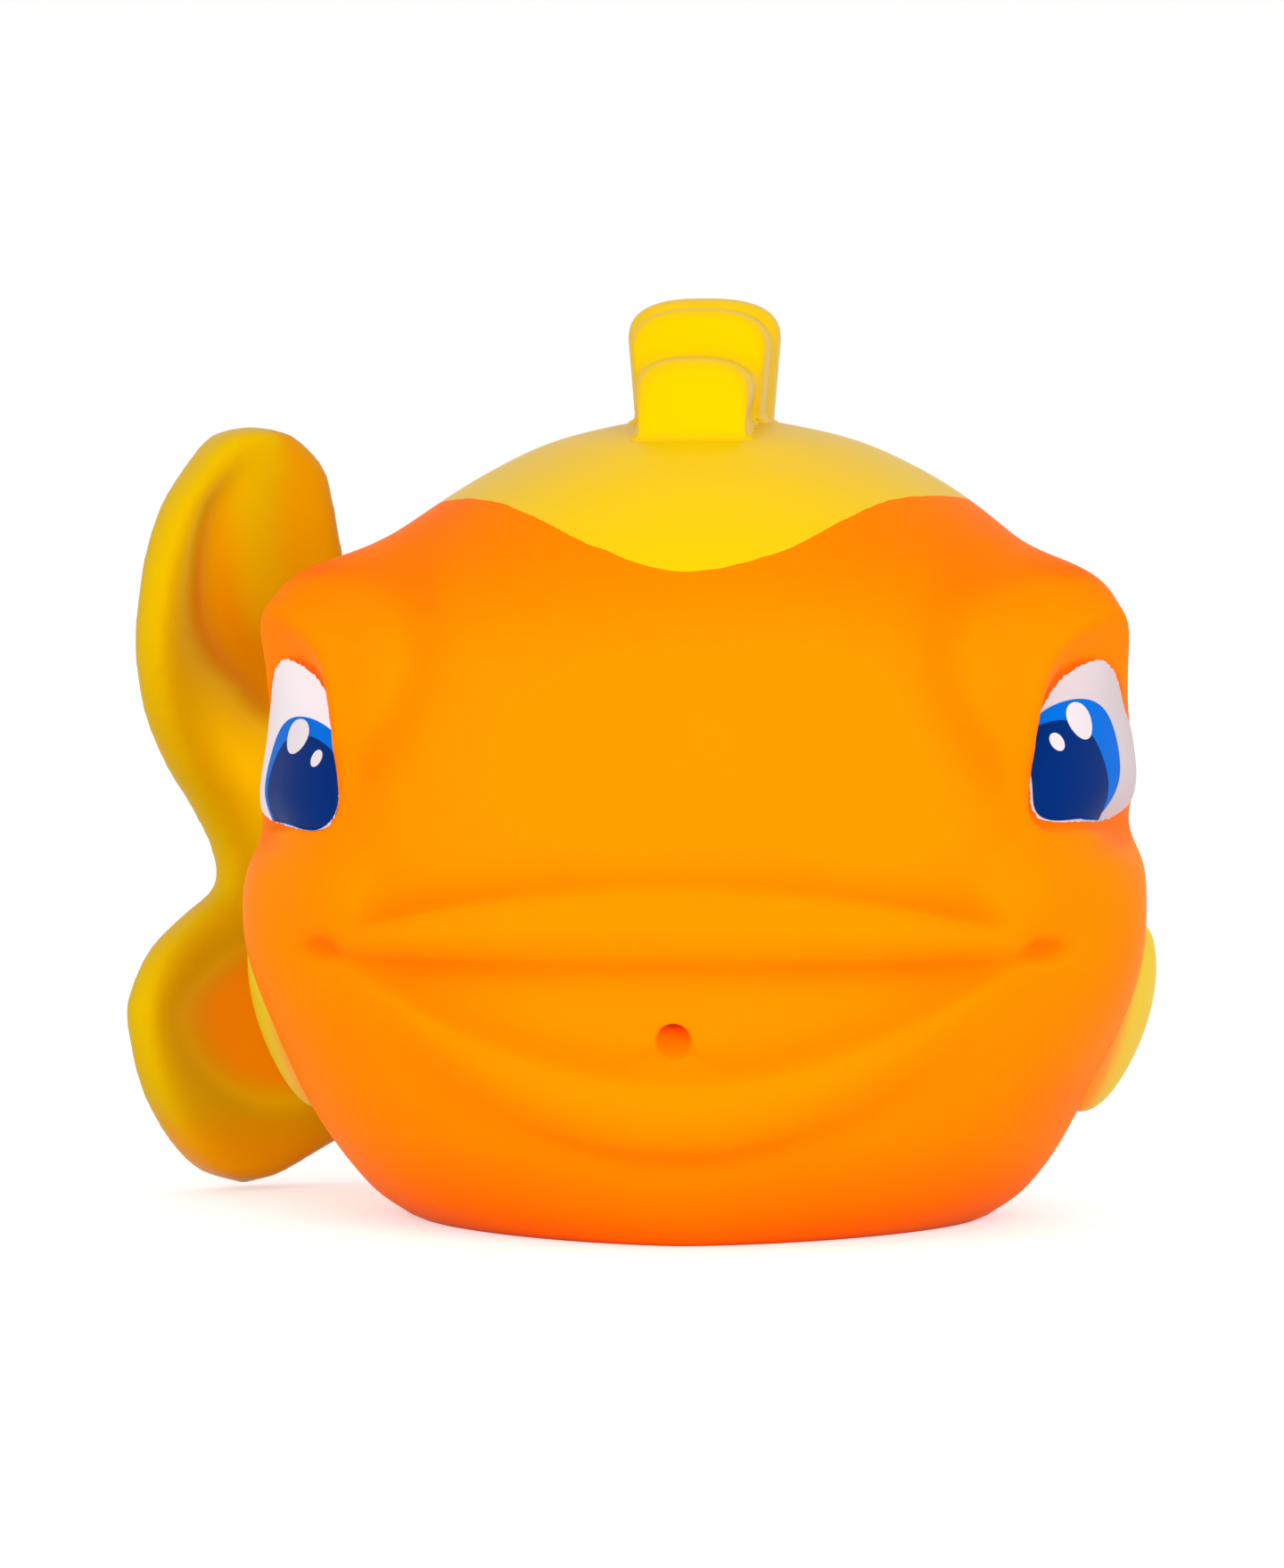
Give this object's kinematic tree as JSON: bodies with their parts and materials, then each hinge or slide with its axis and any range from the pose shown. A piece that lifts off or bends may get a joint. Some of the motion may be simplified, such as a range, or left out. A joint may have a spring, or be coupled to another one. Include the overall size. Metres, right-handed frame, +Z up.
{
  "type": "squeaky bath toy fish",
  "caption": "Soft vinyl bath toy fish with a flat base, curled forked tail, crest fin, squirt hole in the mouth and a reed squeaker plugged into the base.",
  "frame": {"origin": "middle of the flat base, on the plane that the toy rests on", "axes": "+Z up, the fish faces -Y, +X is the fish's left"},
  "size_m": [0.0934, 0.076, 0.0817],
  "materials": {
    "orange_vinyl": "satin",
    "yellow_vinyl": "satin",
    "white_ink": "satin",
    "blue_ink": "satin",
    "navy_ink": "satin",
    "glint_ink": "satin",
    "squeaker_plastic": "semi-gloss",
    "reed_film": "gloss"
  },
  "bodies": {
    "body": {"body_shell": "orange_vinyl", "tail_stem": "yellow_vinyl", "left_side_fin": "yellow_vinyl", "right_side_fin": "yellow_vinyl", "left_eye_white": "white_ink", "left_iris": "blue_ink", "left_pupil": "navy_ink", "left_glints": "glint_ink", "right_eye_white": "white_ink", "right_iris": "blue_ink", "right_pupil": "navy_ink", "right_glints": "glint_ink", "squeaker_housing": "squeaker_plastic", "reed_holder": "squeaker_plastic", "reed_clamp": "squeaker_plastic", "squeaker_cap": "squeaker_plastic"},
    "back": {"back_hood": "yellow_vinyl", "dorsal_fin": "yellow_vinyl"},
    "tail": {"tail_fin": "yellow_vinyl"},
    "reed": {"reed": "reed_film"}
  },
  "joints": [
    {"name": "back_press", "type": "slide", "parent": "body", "child": "back", "axis": [0, 0, -1], "range_m": [0, 0.01], "stiffness_N_per_m": 1000, "deforming": ["body_shell"]},
    {"name": "tail_flex", "type": "hinge", "parent": "body", "child": "tail", "pos_m": [-0.02483, 0.03238, 0.02708], "axis": [0, 0, 1], "range_deg": [-12, 12], "stiffness_Nm_per_rad": 0.06, "deforming": ["tail_stem"]},
    {"name": "reed_flex", "type": "hinge", "parent": "body", "child": "reed", "pos_m": [0, -0.0008, 0.0082], "axis": [1, 0, 0], "range_deg": [0, 8], "stiffness_Nm_per_rad": 0.002, "deforming": ["reed"]}
  ]
}
